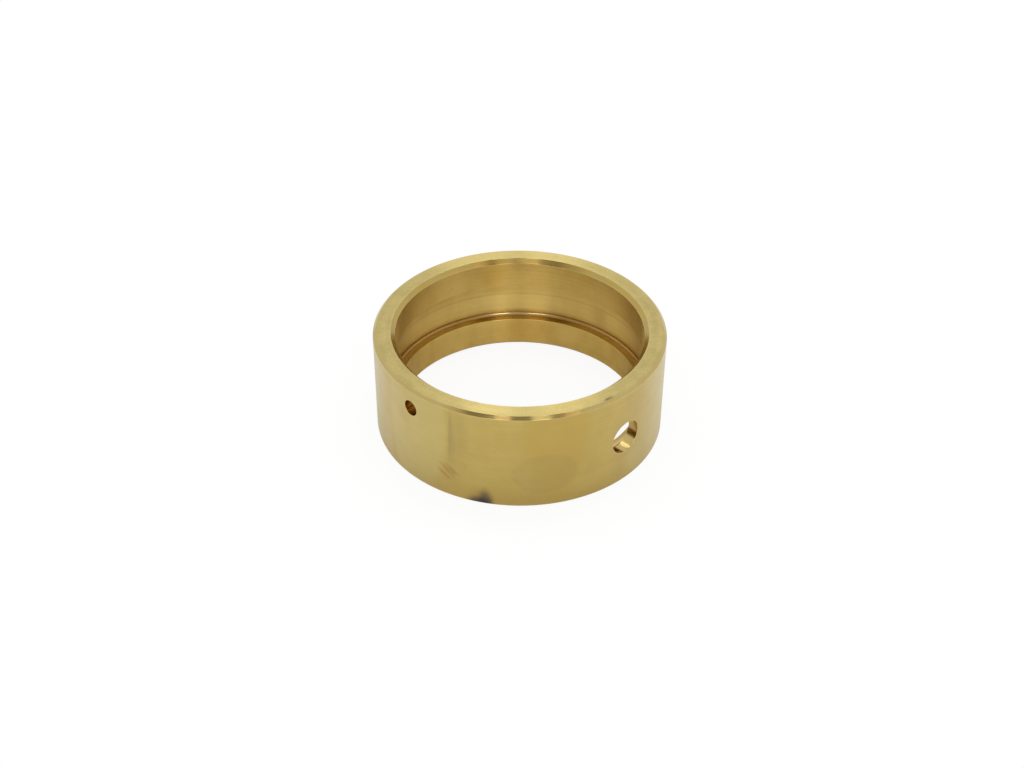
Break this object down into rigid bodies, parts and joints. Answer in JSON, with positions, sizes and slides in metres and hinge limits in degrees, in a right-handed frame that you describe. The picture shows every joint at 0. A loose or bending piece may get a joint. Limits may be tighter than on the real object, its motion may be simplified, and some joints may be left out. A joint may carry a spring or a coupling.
{
  "type": "bushing",
  "caption": "Plain turned brass ring bushing with a wide oil groove inside the bore, chamfered ends, a radial feed hole into the groove and a smaller radial pin hole.",
  "frame": {"origin": "centre of the bore on the bottom face", "axes": "+Z along the bore axis, from the bottom face to the end with the larger outer chamfer; +X out through the feed hole; the pin hole points along -Y"},
  "size_m": [0.1, 0.1, 0.037],
  "materials": {
    "brass": "fine turned, satin"
  },
  "bodies": {
    "root": {"bushing": "brass"}
  },
  "joints": []
}
